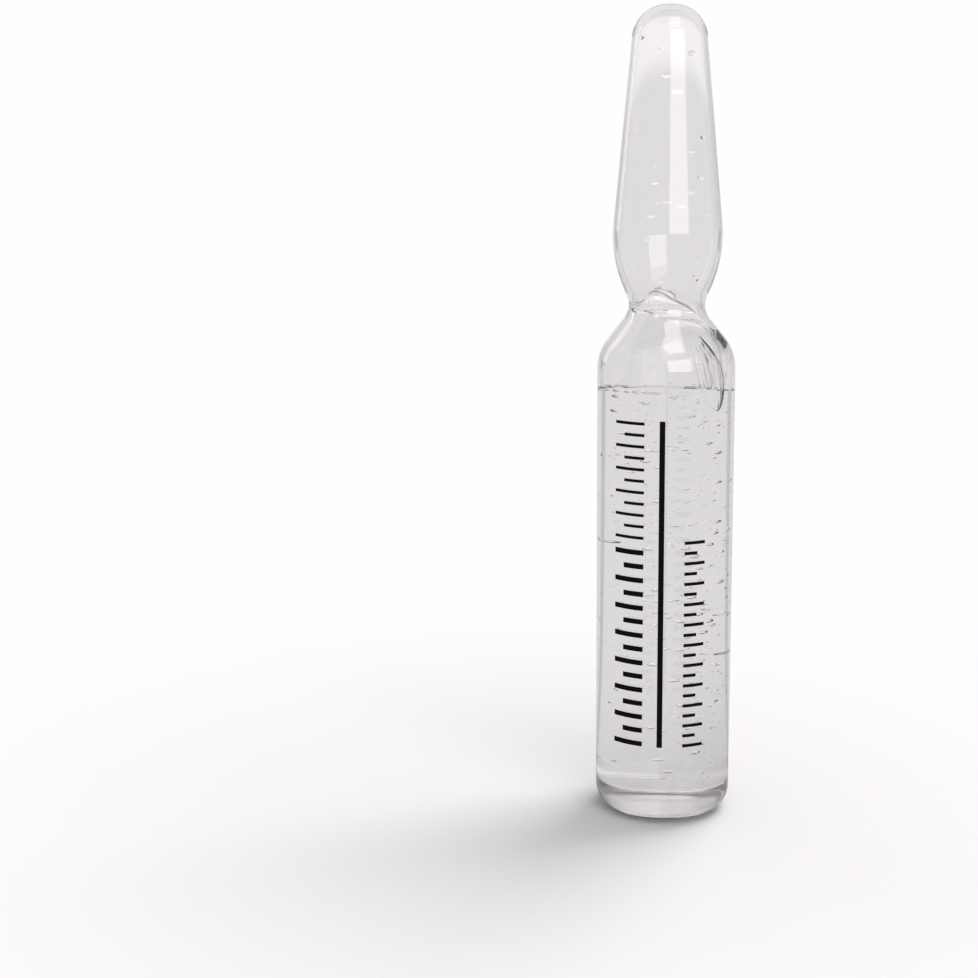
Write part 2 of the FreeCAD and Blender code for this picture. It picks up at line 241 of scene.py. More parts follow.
def carved(solid, tools):
    """Corners and faces of a solid less some tools, which may overlap its skin and each other."""
    whole = mesh_object("whole", *solid)
    cutters = [mesh_object("cutter", *tool) for tool in tools]
    for cutter in cutters:
        cut = whole.modifiers.new("cut", "BOOLEAN")
        cut.operation, cut.solver, cut.object = "DIFFERENCE", "EXACT", cutter
    left = whole.evaluated_get(bpy.context.evaluated_depsgraph_get()).to_mesh()
    grid = bmesh.new()
    grid.from_mesh(left)
    bmesh.ops.remove_doubles(grid, verts=grid.verts, dist=WELD)
    bmesh.ops.dissolve_degenerate(grid, edges=grid.edges, dist=WELD)
    bmesh.ops.triangulate(grid, faces=[face for face in grid.faces if len(face.verts) > MOST_CORNERS])
    grid.verts.ensure_lookup_table()
    corners = [tuple(corner.co) for corner in grid.verts]
    faces = [tuple(corner.index for corner in face.verts) for face in grid.faces]
    grid.free()
    for made in (whole, *cutters):
        bpy.data.meshes.remove(made.data)
    return corners, faces


def piece(name, corners, faces, slot, material):
    """A smooth mesh object from corners in millimetres, which rides on the part."""
    made = mesh_object(name, [(x * MM, y * MM, z * MM) for x, y, z in corners], faces)
    made.data.shade_smooth()
    made.data.set_sharp_from_angle(angle=SHARP)
    made.data.materials.append(material)
    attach(made, "root")
    return made


def new_material(name):
    """An empty material made of nodes, with its nodes and links."""
    material = bpy.data.materials.new(name)
    material.use_nodes = True
    material.node_tree.nodes.clear()
    return material, material.node_tree.nodes, material.node_tree.links


def fixed_noise(nodes, links, scale, detail):
    """Noise that stays in its place on the object."""
    place = nodes.new("ShaderNodeTexCoord")
    wave = nodes.new("ShaderNodeTexNoise")
    wave.inputs["Scale"].default_value = scale
    wave.inputs["Detail"].default_value = detail
    links.new(place.outputs["Object"], wave.inputs["Vector"])
    return wave.outputs["Fac"]


# Clear shaders: how they bend light, what they let through and how thickly they take in the rest
GLASS_IOR, GLASS_TONE, GLASS_DENSITY = 1.5, (0.8, 0.79, 0.8), 300
SERUM_IOR, SERUM_TONE, SERUM_DENSITY = 1.36, (0.95, 0.95, 0.95), 30
# Faint waves in their faces: scale of the noise, and height in metres
GLASS_WAVES = (250, 2e-6)
SERUM_WAVES = (500, 1e-6)
WAVE_DETAIL = 2.0
# Ink: its darkest and palest tone, roughness, sheen, and the noise that its tone follows
INK_DARKEST, INK_PALEST = (0.003, 0.0022, 0.003), (0.006, 0.0045, 0.006)
INK_ROUGHNESS, INK_SHEEN = 0.7, 0.04
INK_GRAIN, INK_DETAIL = 9000, 3.0


def clear_material(name, ior, tone, density, waves):
    """A clear shader that bends light, takes some of it in by depth, and has a faintly wavy face."""
    material, nodes, links = new_material(name)
    wave_scale, wave_height = waves
    out = nodes.new("ShaderNodeOutputMaterial")
    face = nodes.new("ShaderNodeBsdfPrincipled")
    face.inputs["Base Color"].default_value = (1, 1, 1, 1)
    face.inputs["Roughness"].default_value = 0.0
    face.inputs["IOR"].default_value = ior
    face.inputs["Transmission Weight"].default_value = 1.0
    depth = nodes.new("ShaderNodeVolumeAbsorption")
    depth.inputs["Color"].default_value = (*tone, 1)
    depth.inputs["Density"].default_value = density
    bump = nodes.new("ShaderNodeBump")
    bump.inputs["Strength"].default_value = 1.0
    bump.inputs["Distance"].default_value = wave_height
    links.new(fixed_noise(nodes, links, wave_scale, WAVE_DETAIL), bump.inputs["Height"])
    links.new(bump.outputs["Normal"], face.inputs["Normal"])
    links.new(face.outputs["BSDF"], out.inputs["Surface"])
    links.new(depth.outputs["Volume"], out.inputs["Volume"])
    return material


def ink_material():
    """Fired black ink: nearly black, a little uneven, with a low sheen."""
    material, nodes, links = new_material("fired_ink")
    out = nodes.new("ShaderNodeOutputMaterial")
    face = nodes.new("ShaderNodeBsdfPrincipled")
    face.inputs["Roughness"].default_value = INK_ROUGHNESS
    face.inputs["Specular IOR Level"].default_value = INK_SHEEN
    tone = nodes.new("ShaderNodeValToRGB")
    tone.color_ramp.elements[0].color = (*INK_DARKEST, 1)
    tone.color_ramp.elements[1].color = (*INK_PALEST, 1)
    links.new(fixed_noise(nodes, links, INK_GRAIN, INK_DETAIL), tone.inputs["Fac"])
    links.new(tone.outputs["Color"], face.inputs["Base Color"])
    links.new(face.outputs["BSDF"], out.inputs["Surface"])
    return material


glass_shader = clear_material("clear_glass", GLASS_IOR, GLASS_TONE, GLASS_DENSITY, GLASS_WAVES)
serum_shader = clear_material("clear_serum", SERUM_IOR, SERUM_TONE, SERUM_DENSITY, SERUM_WAVES)
ink_shader = ink_material()


def make_glass():
    """The sealed glass: an outer face, and the cavity's face turned inwards."""
    corners, faces = merged([turned(OUTER), turned(CAVITY, inward=True)])
    made = piece("ampoule_glass", corners, faces, "clear_glass", glass_shader)
    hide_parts("glass_ampoule")


# The serum's upper face in the neck is a plug. It rises steeply beside the left wall,
PLUG_LEFT, PLUG_LEFT_FOOT, PLUG_LEFT_RISE = 0.02, -2.1, 1.3
# is highest near the middle, falls away to the right,
PLUG_TOP, PLUG_MIDDLE = 1.15, -0.5
PLUG_SLOPE, PLUG_BEND = 0.5, 0.09
# and creeps up the glass a little at its edge
CREEP = 0.25
CREEP_WIDTH = 0.25
# Unevenness of that face, how fast it grows from the edge inwards, and a swirl at the front left
RIPPLE, RIPPLE_SIZE, RIPPLE_GROWTH = 0.1, 0.9, 3
SWIRL, SWIRL_SIZE, SWIRL_PLACE, SWIRL_REACH = 0.3, 1.7, (-1.4, -1.2), 0.9
# The slice of the noise that the swirl follows
SWIRL_SLICE = 5.0
# Rows of the serum's mesh: level ones up to here, less a gap, then sloped ones, then rings inwards
LEVEL_ROWS_TOP = NECK_HEIGHT - 2.4
LEVEL_ROWS_GAP = 0.1
SLOPED_ROWS = 20
FACE_RINGS = 40
# Fineness of the search for the height of the edge
EDGE_STEP = 0.01


def air_face(x, y):
    """Height of the serum's upper face at a place."""
    climb = min(max((x - PLUG_LEFT_FOOT) / PLUG_LEFT_RISE, 0.0), 1.0)
    left = PLUG_LEFT + (PLUG_TOP - PLUG_LEFT) * climb**2 * (3 - 2 * climb)
    past = max(x - PLUG_MIDDLE, 0.0)
    return NECK_HEIGHT + left - PLUG_SLOPE * past - PLUG_BEND * past**2


def ripple(x, y):
    """Unevenness of the upper face, with its swirl."""
    near = math.exp(-((x - SWIRL_PLACE[0]) ** 2 + (y - SWIRL_PLACE[1]) ** 2) / SWIRL_REACH**2)
    wave = RIPPLE * noise.noise(Vector((x, y, 0.0)) * RIPPLE_SIZE)
    return wave + SWIRL * near * noise.noise(Vector((x, y, SWIRL_SLICE)) * SWIRL_SIZE)


def edge_height(turn):
    """Height at which the upper face meets the wall of the cavity, on one side."""
    heights = np.arange(LEVEL_ROWS_TOP, WIDEST_HEIGHT, EDGE_STEP)
    radii = wall_radius(heights)
    face = np.array([air_face(r * math.cos(turn), r * math.sin(turn)) for r in radii])
    return float(heights[np.argmax(heights > face)])


def serum_skin():
    """Outer skin of the serum: up along the wall, then in over its sloping upper face."""
    turns = full_turn(TURNS)
    level = [(r, z) for r, z in WETTED[1:] if z < LEVEL_ROWS_TOP - LEVEL_ROWS_GAP]
    rings = [[around(r, a, z) for a in turns] for r, z in level]
    edges = [edge_height(a) + CREEP for a in turns]
    for row in range(SLOPED_ROWS + 1):
        heights = [LEVEL_ROWS_TOP + (edge - LEVEL_ROWS_TOP) * row / SLOPED_ROWS for edge in edges]
        rings.append([around(float(wall_radius(z, WETTED)), a, z) for a, z in zip(turns, heights)])
    rim = rings[-1]
    for row in range(1, FACE_RINGS):
        share = 1 - row / FACE_RINGS
        ring = []
        for x, y, _ in rim:
            near, far = share * x, share * y
            climb = CREEP * math.exp(-(1 - share) * math.hypot(x, y) / CREEP_WIDTH)
            wave = ripple(near, far) * min(1.0, RIPPLE_GROWTH * (1 - share))
            ring.append((near, far, air_face(near, far) + climb + wave))
        rings.append(ring)
    return skin(rings, (0, 0, WETTED[0][1]), (0, 0, air_face(0, 0) + ripple(0, 0)))


# The pocket of air in the shoulder: upright below and a ball above, and up against the glass on the left
POCKET_BALL = (-POCKET_SHIFT, 0.0, NECK_HEIGHT - POCKET_DROP)
# Its face is searched for from this middle, at most this far out, by halving
POCKET_MIDDLE = (-POCKET_SHIFT, 0.0, 36.4)
POCKET_REACH = 8.0
HALVINGS = 30
POCKET_TURNS, POCKET_ROWS = 160, 96
# Waves of its whole face
POCKET_WAVE, POCKET_WAVE_SIZE = 0.05, 0.6
# Waves of its floor, the height over the floor at which they begin to fade, and their slice of the noise
FLOOR_WAVE, FLOOR_WAVE_SIZE = 0.1, 1.1
FLOOR_WAVE_RISE, FLOOR_WAVE_SLICE = 1.0, 3.0


def rounded_both(first, second, rounding):
    """Distance outside both of two forms, with their shared edge rounded."""
    corner = np.hypot(np.maximum(first + rounding, 0), np.maximum(second + rounding, 0))
    return np.minimum(np.maximum(first, second), -rounding) + corner


def outside_pocket(x, y, z):
    """Rough distance outside the pocket of air, below nought inside it."""
    above = np.maximum(z - POCKET_BALL[2], 0)
    ball = np.sqrt((x - POCKET_BALL[0]) ** 2 + y**2 + above**2) - POCKET_RADIUS
    floor = (FILL_HEIGHT - z) * math.cos(FILL_LEAN) - y * math.sin(FILL_LEAN)
    return rounded_both(ball, floor, MENISCUS)


def pocket_skin():
    """The pocket's face, found along straight rays from its middle, and faintly wavy."""
    turns = np.linspace(0, 2 * math.pi, POCKET_TURNS, endpoint=False)
    tilts = np.linspace(-math.pi / 2, math.pi / 2, POCKET_ROWS + 1)
    tilt, turn = np.meshgrid(tilts, turns, indexing="ij")
    ray = np.stack((np.cos(tilt) * np.cos(turn), np.cos(tilt) * np.sin(turn), np.sin(tilt)))
    middle = np.array(POCKET_MIDDLE).reshape(-1, 1, 1)
    low, high = np.zeros_like(tilt), np.full_like(tilt, POCKET_REACH)
    for _ in range(HALVINGS):
        half = (low + high) / 2
        inside = outside_pocket(*(middle + ray * half)) < 0
        low, high = np.where(inside, half, low), np.where(inside, high, half)
    places = (middle + ray * low).reshape(len(ray), -1).T * POCKET_WAVE_SIZE
    waves = np.array([noise.noise(Vector(place)) for place in places]).reshape(tilt.shape)
    points = middle + ray * (low + POCKET_WAVE * waves)
    plan = points[:2].reshape(2, -1).T
    dips = np.array([noise.noise(Vector((x, y, FLOOR_WAVE_SLICE)) * FLOOR_WAVE_SIZE) for x, y in plan])
    near_floor = np.clip(1 - (points[2] - FILL_HEIGHT - FLOOR_WAVE_RISE), 0, 1)
    points[2] += FLOOR_WAVE * dips.reshape(tilt.shape) * near_floor
    rings = [list(zip(*points[:, row, :].tolist())) for row in range(1, POCKET_ROWS)]
    return skin(rings, points[:, 0, 0], points[:, -1, 0])


# A pointed finger of air that runs down the right front wall beside the pocket
FINGER_TOP, FINGER_TIP = 39.6, 32.9
FINGER_TOP_TURN, FINGER_TIP_TURN = math.radians(-60), math.radians(-36)
FINGER_WIDTH, FINGER_DEPTH, FINGER_GAP = 1.3, 0.17, 0.1
FINGER_ROWS, FINGER_SIDES = 90, 80
# How it swells between its ends, and how blunt they are in width and in depth
FINGER_SWELL, FINGER_BLUNT_WIDTH, FINGER_BLUNT_DEPTH = 0.7, 0.9, 0.5
# How it bends along its length
FINGER_BEND, FINGER_BEND_TURN = 0.25, 3
# Folds in its inner face, and how they wander along its length
FINGER_FOLDS, FOLD_DEPTH, FOLD_TURN = 4, 0.45, 2.5


def finger_bend(share):
    """How far the finger is bent aside at a share of its length."""
    return FINGER_BEND * math.sin(FINGER_BEND_TURN * share)


def finger_skin():
    """The finger's face: a flat, folded drop shape that follows the wall and ends in a point."""
    rings = []
    for row in range(1, FINGER_ROWS):
        share = row / FINGER_ROWS
        z = FINGER_TIP + (FINGER_TOP - FINGER_TIP) * share
        turn = FINGER_TIP_TURN + (FINGER_TOP_TURN - FINGER_TIP_TURN) * share
        swell = math.sin(math.pi * share**FINGER_SWELL)
        wide = FINGER_WIDTH * swell**FINGER_BLUNT_WIDTH
        deep = FINGER_DEPTH * swell**FINGER_BLUNT_DEPTH
        wall = float(wall_radius(z)) - FINGER_GAP
        ring = []
        for a in (-side for side in full_turn(FINGER_SIDES)):
            fold = 1 + FOLD_DEPTH * math.sin(FINGER_FOLDS * math.pi * math.cos(a) + FOLD_TURN * share)
            across = wide * math.cos(a) + finger_bend(share)
            r = wall - deep + deep * math.sin(a) * (fold if a > -math.pi else 1)
            ring.append(around(r, turn + across / wall, z))
        rings.append(ring)
    ends = []
    for z, turn, share in ((FINGER_TIP, FINGER_TIP_TURN, 0.0), (FINGER_TOP, FINGER_TOP_TURN, 1.0)):
        r = float(wall_radius(z)) - FINGER_GAP - FINGER_DEPTH / 2
        ends.append(around(r, turn + finger_bend(share) / r, z))
    return skin(rings, *ends)


# Bubbles in the serum, and their proportions against their radius: along the wall, from it, and upright
BUBBLES = 540
SMALLEST_BUBBLE, LARGEST_BUBBLE = 0.05, 0.24
BUBBLE_WIDE, BUBBLE_DEEP, BUBBLE_FLAT = 1.9, 0.8, 0.6
BUBBLE_CLEARANCE = 0.04
BUBBLE_FOOT, BUBBLE_TOP = 2.2, NECK_HEIGHT + 1.0
# Small ones, high ones and those near the wall come more often: powers of a random share
SIZE_POWER, HEIGHT_POWER, DEPTH_POWER = 3, 0.8, 3
# How far in from the wall the innermost are, as a share
BUBBLE_DEEPEST = 0.9
# This share of them gathers about a turn, with a spread, both in degrees
GATHERED, GATHERED_TURN, GATHERED_SPREAD = 0.55, -45, 30
HALF_TURN = 180
# More room round the pocket and beside the finger, and how far in from the wall a bubble is clear of it
POCKET_ROOM, FINGER_ROOM, FINGER_BEHIND = 0.1, 0.3, 1.0
TRIES = 30000
BUBBLE_SEED = 4
# Larger ones in a row under the pocket's front rim and below it: turn in degrees, height, radius
RIM_BUBBLE_REACH = 4.55
RIM_BUBBLES = [
    (-152, 34.40, 0.12),
    (-139, 34.45, 0.20),
    (-125, 34.45, 0.15),
    (-115, 34.50, 0.20),
    (-105, 34.50, 0.18),
    (-96, 34.50, 0.20),
    (-140, 34.00, 0.20),
    (-106, 33.70, 0.20),
    (-142, 32.85, 0.22),
    (-81, 34.20, 0.17),
]
# Fine ones that cloud the plug in the neck: they lie in a box, and inside a radius
PLUG_BUBBLES = 110
PLUG_SMALLEST, PLUG_LARGEST = 0.035, 0.09
PLUG_LOW, PLUG_HIGH = (-1.9, -2.0, NECK_HEIGHT), (2.0, 1.6, NECK_HEIGHT + 1.1)
PLUG_REACH = 2.3


def ball_template(rows, sides):
    """Unit ball as rings, with its poles up and down."""
    tilts = [-math.pi / 2 + math.pi * row / rows for row in range(1, rows)]
    return [[around(math.cos(tilt), turn, math.sin(tilt)) for turn in full_turn(sides)] for tilt in tilts]


# Bubbles from this radius up have more faces
LARGE_FROM = 0.12
SMALL_BALL, LARGE_BALL = ball_template(6, 10), ball_template(10, 18)


def bubble_skin(centre, radius):
    """A flat bubble's face, seen from the serum round it. It is widest along the wall."""
    x, y, z = centre
    out = math.atan2(y, x)
    away, along, flat = BUBBLE_DEEP * radius, BUBBLE_WIDE * radius, BUBBLE_FLAT * radius
    rings = []
    for corners in SMALL_BALL if radius < LARGE_FROM else LARGE_BALL:
        places = [(away * i, along * j, flat * k) for i, j, k in corners]
        rings.append([(x + (i * math.cos(out) - j * math.sin(out)),
                       y + (i * math.sin(out) + j * math.cos(out)), z + k) for i, j, k in places])
    return skin(rings, (x, y, z - flat), (x, y, z + flat), inward=True)


def clear_of_pockets(centre, radius):
    """True if a bubble is clear of the pocket, of the finger's lower part and of the upper face."""
    x, y, z = centre
    room = BUBBLE_WIDE * radius + BUBBLE_CLEARANCE
    if outside_pocket(x, y, z) < room + POCKET_ROOM:
        return False
    if z > air_face(x, y) - room - SWIRL:
        return False
    reach = math.hypot(x, y)
    beside = abs(math.atan2(y, x) - FINGER_TIP_TURN) * reach > FINGER_WIDTH + room + FINGER_ROOM
    below = z < FINGER_TIP - room
    return beside or below or reach < wall_radius(z) - FINGER_BEHIND - room


def apart(centre, radius, placed):
    """True if a bubble touches none of those placed."""
    return all(math.dist(centre, other) > BUBBLE_WIDE * (radius + other_radius) + BUBBLE_CLEARANCE
               for other, other_radius in placed)


def plug_bubble(dice):
    """A fine bubble in the plug's box, or none where it is outside the plug's radius."""
    radius = dice.uniform(PLUG_SMALLEST, PLUG_LARGEST)
    centre = tuple(dice.uniform(low, high) for low, high in zip(PLUG_LOW, PLUG_HIGH))
    if math.hypot(*centre[:2]) > PLUG_REACH - BUBBLE_WIDE * radius:
        return None
    return centre, radius


def body_bubble(dice):
    """A bubble of any size somewhere in the serum, most often near the wall."""
    radius = SMALLEST_BUBBLE + (LARGEST_BUBBLE - SMALLEST_BUBBLE) * dice.random() ** SIZE_POWER
    z = BUBBLE_FOOT + (BUBBLE_TOP - BUBBLE_FOOT) * dice.random() ** HEIGHT_POWER
    wall = float(wall_radius(z))
    reach = math.sqrt(wall**2 - (BUBBLE_WIDE * radius) ** 2) - radius - BUBBLE_CLEARANCE
    r = reach * (1 - BUBBLE_DEEPEST * dice.random() ** DEPTH_POWER)
    if dice.random() < GATHERED:
        turn = dice.gauss(GATHERED_TURN, GATHERED_SPREAD)
    else:
        turn = dice.uniform(-HALF_TURN, HALF_TURN)
    return around(r, math.radians(turn), z), radius


def place_bubbles(dice):
    """Bubbles that don't touch: under the pocket's rim, in the plug, and all through the serum."""
    placed = [(around(RIM_BUBBLE_REACH, math.radians(turn), z), radius) for turn, z, radius in RIM_BUBBLES]
    for draw, count in ((plug_bubble, PLUG_BUBBLES), (body_bubble, BUBBLES - len(RIM_BUBBLES))):
        enough = len(placed) + count
        for _ in range(TRIES):
            if len(placed) == enough:
                break
            bubble = draw(dice)
            if bubble and clear_of_pockets(*bubble) and apart(*bubble, placed):
                placed.append(bubble)
    return placed


def make_serum():
    """The serum with its pocket, finger and bubbles of air, as one closed mesh."""
    solids = [carved(serum_skin(), [pocket_skin(), finger_skin()])]
    solids += [bubble_skin(*bubble) for bubble in place_bubbles(random.Random(BUBBLE_SEED))]
    made = piece("serum_with_bubbles", *merged(solids), "clear_serum", serum_shader)
    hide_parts("serum")


# Drops on the inner wall, at the places of the CAD part's drops. Each has its share of the stem's
# length above the bulb's widest point, its turn in degrees, and its size against a full drop
DROPS = [
    (0.85, -138, 0.6),
    (0.78, -52, 0.9),
    (0.69, -92, 1.0),
    (0.62, -76, 1.0),
    (0.42, -39, 0.7),
    (0.25, -47, 0.9),
    (0.19, -61, 1.0),
    (0.09, -106, 1.0),
]
# Finer drops beside them
FINE_DROPS = [
    (0.80, -104, 0.3),
    (0.30, -103, 0.4),
    (0.15, -88, 0.9),
    (0.145, -100, 0.5),
    (0.13, -72, 0.8),
    (0.10, -64, 0.6),
    (-0.02, -110, 0.5),
    (-0.05, -75, 0.35),
    (-0.10, -50, 0.35),
    (-0.17, -62, 0.5),
    (-0.18, -52, 0.4),
    (-0.20, -45, 0.5),
    (-0.12, -70, 0.3),
    (0.04, -84, 0.4),
    (0.02, -120, 0.5),
    (0.36, 60, 0.8),
    (0.55, 20, 0.9),
    (0.22, 110, 0.9),
    (0.08, 35, 0.7),
    (0.47, 150, 0.8),
]
# A full drop is this far from its middle to its sides, to its top, and into the air
DROP_WIDTH, DROP_HEIGHT, DROP_DEPTH = 0.42, 0.26, 0.07
# How much thicker it is below, and how quickly it thins out towards its edge
DROP_SAG, DROP_THINNING = 0.35, 1.5
# Rings of its mesh: evenly spaced in front, and at these shares of its size behind
DROP_SIDES, DROP_RINGS, DROP_BACK_RINGS = 28, 10, (1.0, 0.6, 0.3)


def drop_skin(share, degrees, size):
    """A flat drop on the inner wall: a closed lens, thicker below, with its back in the glass."""
    middle, turn = WIDEST_HEIGHT + share * STEM_LENGTH, math.radians(degrees)

    def ring(spread, depth):
        """Corners round the drop at a share of its size, this far into the air."""
        corners = []
        for a in full_turn(DROP_SIDES):
            z = middle + DROP_HEIGHT * size * spread * math.sin(a)
            sag = 1 - DROP_SAG * spread * math.sin(a)
            r = float(wall_radius(z, WETTED)) - depth * sag
            corners.append(around(r, turn + DROP_WIDTH * size * spread * math.cos(a) / r, z))
        return corners

    def tip(depth):
        """The middle of a face of the drop, this far into the air."""
        return around(float(wall_radius(middle, WETTED)) - depth, turn, middle)

    deep = DROP_DEPTH * size + OVERLAP
    spreads = [k / DROP_RINGS for k in range(1, DROP_RINGS)]
    front = [ring(spread, deep * (1 - spread**2) ** DROP_THINNING) for spread in spreads]
    back = [ring(spread, 0.0) for spread in DROP_BACK_RINGS]
    return skin(front + back, tip(deep), tip(0.0))


def make_drops():
    """The drops left in the bulb and stem."""
    solids = [drop_skin(*drop) for drop in DROPS + FINE_DROPS]
    made = piece("drops_on_the_wall", *merged(solids), "clear_serum", serum_shader)
    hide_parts("serum_drops")


def print_ink():
    """The printed marks stay as the CAD part has them, in fired ink."""
    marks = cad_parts["print_marks"]
    marks.data.materials.clear()
    marks.data.materials.append(ink_shader)


# Camera, solved from the outline in the photograph, at 978 pixels square
PHOTO_WIDTH = 978
FOCAL_PIXELS = 1839.67
# Its place is in millimetres, its heading and pitch down in degrees, and its roll in radians
CAMERA_PLACE = (6.11, -143.72, 54.20)
CAMERA_HEADING = 8.0
CAMERA_PITCH = 11.04
CAMERA_ROLL = -0.0077
# Tilt in degrees of a camera that looks level
LEVEL_TILT = 90
SENSOR_WIDTH = 36.0
# Nearest and furthest that it sees, in metres
CLIP_START, CLIP_END = 0.01, 20.0


def make_camera():
    """The camera, where the photograph was taken from."""
    data = bpy.data.cameras.new("camera")
    data.sensor_width = SENSOR_WIDTH
    data.lens = FOCAL_PIXELS / PHOTO_WIDTH * data.sensor_width
    data.clip_start, data.clip_end = CLIP_START, CLIP_END
    made = new_object("camera", data)
    turn = Euler((math.radians(LEVEL_TILT - CAMERA_PITCH), 0, math.radians(CAMERA_HEADING))).to_matrix()
    roll = Matrix.Rotation(CAMERA_ROLL, 3, "Z")
    made.matrix_world = Matrix.Translation(Vector(CAMERA_PLACE) * MM) @ (turn @ roll).to_4x4()
    bpy.context.scene.camera = made


# Soft boxes face this height on the axis, and stand this far from it, in metres
LAMP_AIM, LAMP_DISTANCE = 0.03, 0.6
# For each its azimuth, which grows from the front to the right, and its elevation, in degrees, its width
# and height in metres, its brightness, and whether glass shows it
LAMPS = {
    "front_box": (27, 18, 0.46, 0.32, 2.2, True),
    "top_box": (27, 62, 0.3, 0.25, 2.2, True),
    "rim_strip": (-129, 16, 0.06, 0.32, 1.3, True),
    "key_box": (140, 52, 0.4, 0.4, 5.5, False),
}
# White to the eye, and the tint of the light
WHITE = (1.0, 0.991, 1.0)
TINT = (1.0, 0.97, 1.0)


def area_lamp(name, azimuth, elevation, width, height, glow, seen):
    """A soft box that faces the ampoule's middle."""
    data = bpy.data.lights.new(name, "AREA")
    data.shape = "RECTANGLE"
    data.size, data.size_y = width, height
    data.energy = glow * math.pi * width * height
    data.color = TINT
    made = new_object(name, data)
    a, e = math.radians(azimuth), math.radians(elevation)
    back = Vector((math.sin(a) * math.cos(e), -math.cos(a) * math.cos(e), math.sin(e)))
    made.location = Vector((0, 0, LAMP_AIM)) + back * LAMP_DISTANCE
    made.rotation_mode = "QUATERNION"
    made.rotation_quaternion = back.to_track_quat("Z", "Y")
    made.visible_camera = False
    made.visible_glossy = seen
    made.visible_transmission = seen


def light_scene():
    """Boxes at the front right make the highlights, a strip lights a rim, and a key casts the shadow."""
    for name, numbers in LAMPS.items():
        area_lamp(name, *numbers)


# The backdrop as glass shows it: pale grey, nearly white straight back and up, and the ceiling
CLEAR_LOW, CLEAR_HIGH, CEILING = 0.77, 0.98, 0.85
# Dark upright bands: on the floor as glass shows it, and in the backdrop where glass mirrors it
CLEAR_EDGE, MIRROR_DARK = 0.48, 0.2
# The room in front and the roof as glass shows them, and the level at which the room lights the floor
ROOM, ROOM_LIGHT = 0.7, 0.5
# Straight back behind the ampoule
BACK = (-0.058, 0.998, 0.0)
# Limits as shares of straight back, from where a tone begins to where it is full
BRIGHT_BACK = (0.9, 0.97)
FRONT = (-0.1, 0.1)
# Outer and inner limits of the dark bands: on the floor, mirrored in the backdrop, and on the far floor
DARK_OUTER, DARK_INNER = (0.64, 0.72), (0.79, 0.745)
MIRROR_OUTER, MIRROR_INNER = (0.4, 0.6), (0.97, 0.88)
FAR_OUTER, FAR_INNER = (0.64, 0.72), (0.92, 0.88)
# Distance in metres over which the floor becomes the far floor
FAR_FLOOR = (0.24, 0.32)
# How far up a direction goes where the backdrop turns bright, where the ceiling begins, and the roof
BRIGHT_RISE, CEILING_RISE, ROOF_RISE = (0.024, 0.044), (0.25, 0.5), (0.7, 0.8)


def step(nodes, links, value, low, high):
    """A soft step from nought to one between two values."""
    ramp = nodes.new("ShaderNodeMapRange")
    ramp.interpolation_type = "SMOOTHSTEP"
    ramp.inputs["From Min"].default_value = low
    ramp.inputs["From Max"].default_value = high
    links.new(value, ramp.inputs["Value"])
    return ramp.outputs["Result"]


def back_and_up(nodes, links, direction):
    """How far a direction, as one long, goes straight back and how far up."""
    unit = nodes.new("ShaderNodeVectorMath")
    unit.operation = "NORMALIZE"
    back = nodes.new("ShaderNodeVectorMath")
    back.operation = "DOT_PRODUCT"
    back.inputs[1].default_value = BACK
    parts = nodes.new("ShaderNodeSeparateXYZ")
    links.new(direction, unit.inputs[0])
    links.new(unit.outputs["Vector"], back.inputs[0])
    links.new(unit.outputs["Vector"], parts.inputs["Vector"])
    return back.outputs["Value"], parts.outputs["Z"]


def combined(nodes, links, operation, first, second):
    """Two values put together by a product, or the larger of them."""
    maths = nodes.new("ShaderNodeMath")
    maths.operation = operation
    links.new(first, maths.inputs[0])
    links.new(second, maths.inputs[1])
    return maths.outputs["Value"]


def between(nodes, links, back, outer, inner):
    """One in the two upright bands between an outer and an inner limit, nought beside them."""
    rising = step(nodes, links, back, *outer)
    falling = step(nodes, links, back, *inner)
    return combined(nodes, links, "MULTIPLY", rising, falling)


def through_or_mirrored(nodes, links):
    """One for what shows through glass or mirrored in it."""
    path = nodes.new("ShaderNodeLightPath")
    through, mirrored = path.outputs["Is Transmission Ray"], path.outputs["Is Glossy Ray"]
    return combined(nodes, links, "MAXIMUM", through, mirrored)


def colour_mix(nodes, links, factor, first, second):
    """A mix of two colours, each given as a colour or as the output of a node."""
    mix = nodes.new("ShaderNodeMix")
    mix.data_type = "RGBA"
    links.new(factor, mix.inputs["Factor"])
    for name, value in (("A", first), ("B", second)):
        socket = next(s for s in mix.inputs if s.name == name and s.type == "RGBA")
        if isinstance(value, tuple):
            socket.default_value = (*value, 1)
        else:
            links.new(value, socket)
    return next(s for s in mix.outputs if s.type == "RGBA")


def tinted(level):
    """A level of light in the tint of the picture."""
    return tuple(level * part for part in TINT)


def grey(level):
    """A level of light with no tint."""
    return level, level, level


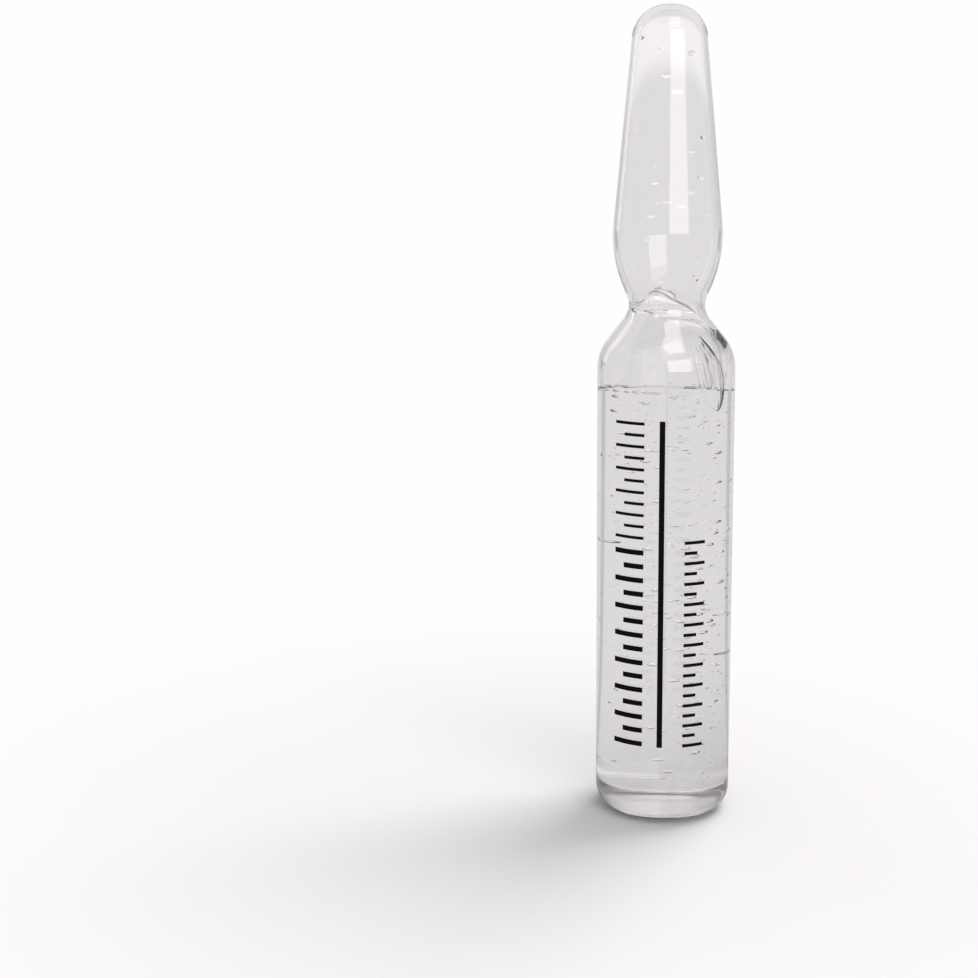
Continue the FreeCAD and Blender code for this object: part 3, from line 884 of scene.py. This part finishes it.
def make_world():
    """White to the eye. Glass shows a pale room instead, brighter straight back, and mirrors dark bands."""
    world = bpy.data.worlds.new("room")
    bpy.context.scene.world = world
    world.use_nodes = True
    nodes, links = world.node_tree.nodes, world.node_tree.links
    nodes.clear()
    out = nodes.new("ShaderNodeOutputWorld")
    glow = nodes.new("ShaderNodeBackground")
    place = nodes.new("ShaderNodeTexCoord")
    path = nodes.new("ShaderNodeLightPath")
    back, up = back_and_up(nodes, links, place.outputs["Generated"])
    behind, above = step(nodes, links, back, *BRIGHT_BACK), step(nodes, links, up, *BRIGHT_RISE)
    window = combined(nodes, links, "MULTIPLY", behind, above)
    room = colour_mix(nodes, links, step(nodes, links, back, *FRONT), tinted(ROOM), tinted(CLEAR_LOW))
    sides = between(nodes, links, back, MIRROR_OUTER, MIRROR_INNER)
    reflected = combined(nodes, links, "MULTIPLY", path.outputs["Is Reflection Ray"], sides)
    low = colour_mix(nodes, links, reflected, room, tinted(MIRROR_DARK))
    lit = colour_mix(nodes, links, window, low, tinted(CLEAR_HIGH))
    under = colour_mix(nodes, links, step(nodes, links, up, *CEILING_RISE), lit, tinted(CEILING))
    clear = colour_mix(nodes, links, step(nodes, links, up, *ROOF_RISE), under, tinted(ROOM))
    seen = colour_mix(nodes, links, through_or_mirrored(nodes, links), tinted(ROOM_LIGHT), clear)
    links.new(colour_mix(nodes, links, path.outputs["Is Camera Ray"], seen, WHITE), glow.inputs["Color"])
    links.new(glow.outputs["Background"], out.inputs["Surface"])


# The floor, in metres: it lies a little under the base, and fades from matt to plain white
FLOOR_RADIUS, FLOOR_SIDES = 3.0, 96
FLOOR_DROP = 2e-5
FLOOR_FADE = (0.015, 0.075)
FLOOR_COLOUR = 0.8


def make_floor():
    """A pale floor that keeps the soft shadow near the ampoule and is plain white further off."""
    mesh = bpy.data.meshes.new("floor")
    grid = bmesh.new()
    bmesh.ops.create_circle(grid, cap_ends=True, segments=FLOOR_SIDES, radius=FLOOR_RADIUS)
    grid.to_mesh(mesh)
    grid.free()
    made = new_object("floor", mesh)
    made.location.z = -FLOOR_DROP
    material, nodes, links = new_material("pale_floor")
    out = nodes.new("ShaderNodeOutputMaterial")
    matt = nodes.new("ShaderNodeBsdfDiffuse")
    glow = nodes.new("ShaderNodeEmission")
    mix = nodes.new("ShaderNodeMixShader")
    place = nodes.new("ShaderNodeTexCoord")
    far = nodes.new("ShaderNodeVectorMath")
    far.operation = "LENGTH"
    links.new(place.outputs["Object"], far.inputs[0])
    distance = far.outputs["Value"]
    back, _ = back_and_up(nodes, links, place.outputs["Object"])
    far_bands = between(nodes, links, back, FAR_OUTER, FAR_INNER)
    wider = combined(nodes, links, "MULTIPLY", step(nodes, links, distance, *FAR_FLOOR), far_bands)
    edge = combined(nodes, links, "MAXIMUM", wider, between(nodes, links, back, DARK_OUTER, DARK_INNER))
    through = through_or_mirrored(nodes, links)
    for shader, seen, tone in ((matt, grey(FLOOR_COLOUR), grey), (glow, WHITE, tinted)):
        pale, dark = tone(CLEAR_LOW * seen[0]), tone(CLEAR_EDGE * seen[0])
        behind = colour_mix(nodes, links, edge, pale, dark)
        links.new(colour_mix(nodes, links, through, seen, behind), shader.inputs["Color"])
    links.new(step(nodes, links, distance, *FLOOR_FADE), mix.inputs["Fac"])
    links.new(matt.outputs["BSDF"], mix.inputs[1])
    links.new(glow.outputs["Emission"], mix.inputs[2])
    links.new(mix.outputs["Shader"], out.inputs["Surface"])
    mesh.materials.append(material)


# Light passes through many faces of glass, serum and bubbles before it is lost
BOUNCES, GLOSSY_BOUNCES = 32, 16


def set_view():
    """Plain colours, and enough bounces for clear things inside each other."""
    scene = bpy.context.scene
    scene.view_settings.view_transform = "Standard"
    scene.cycles.max_bounces = BOUNCES
    scene.cycles.transmission_bounces = BOUNCES
    scene.cycles.glossy_bounces = GLOSSY_BOUNCES


make_camera()
make_world()
make_floor()
light_scene()
make_glass()
make_serum()
make_drops()
print_ink()
set_view()
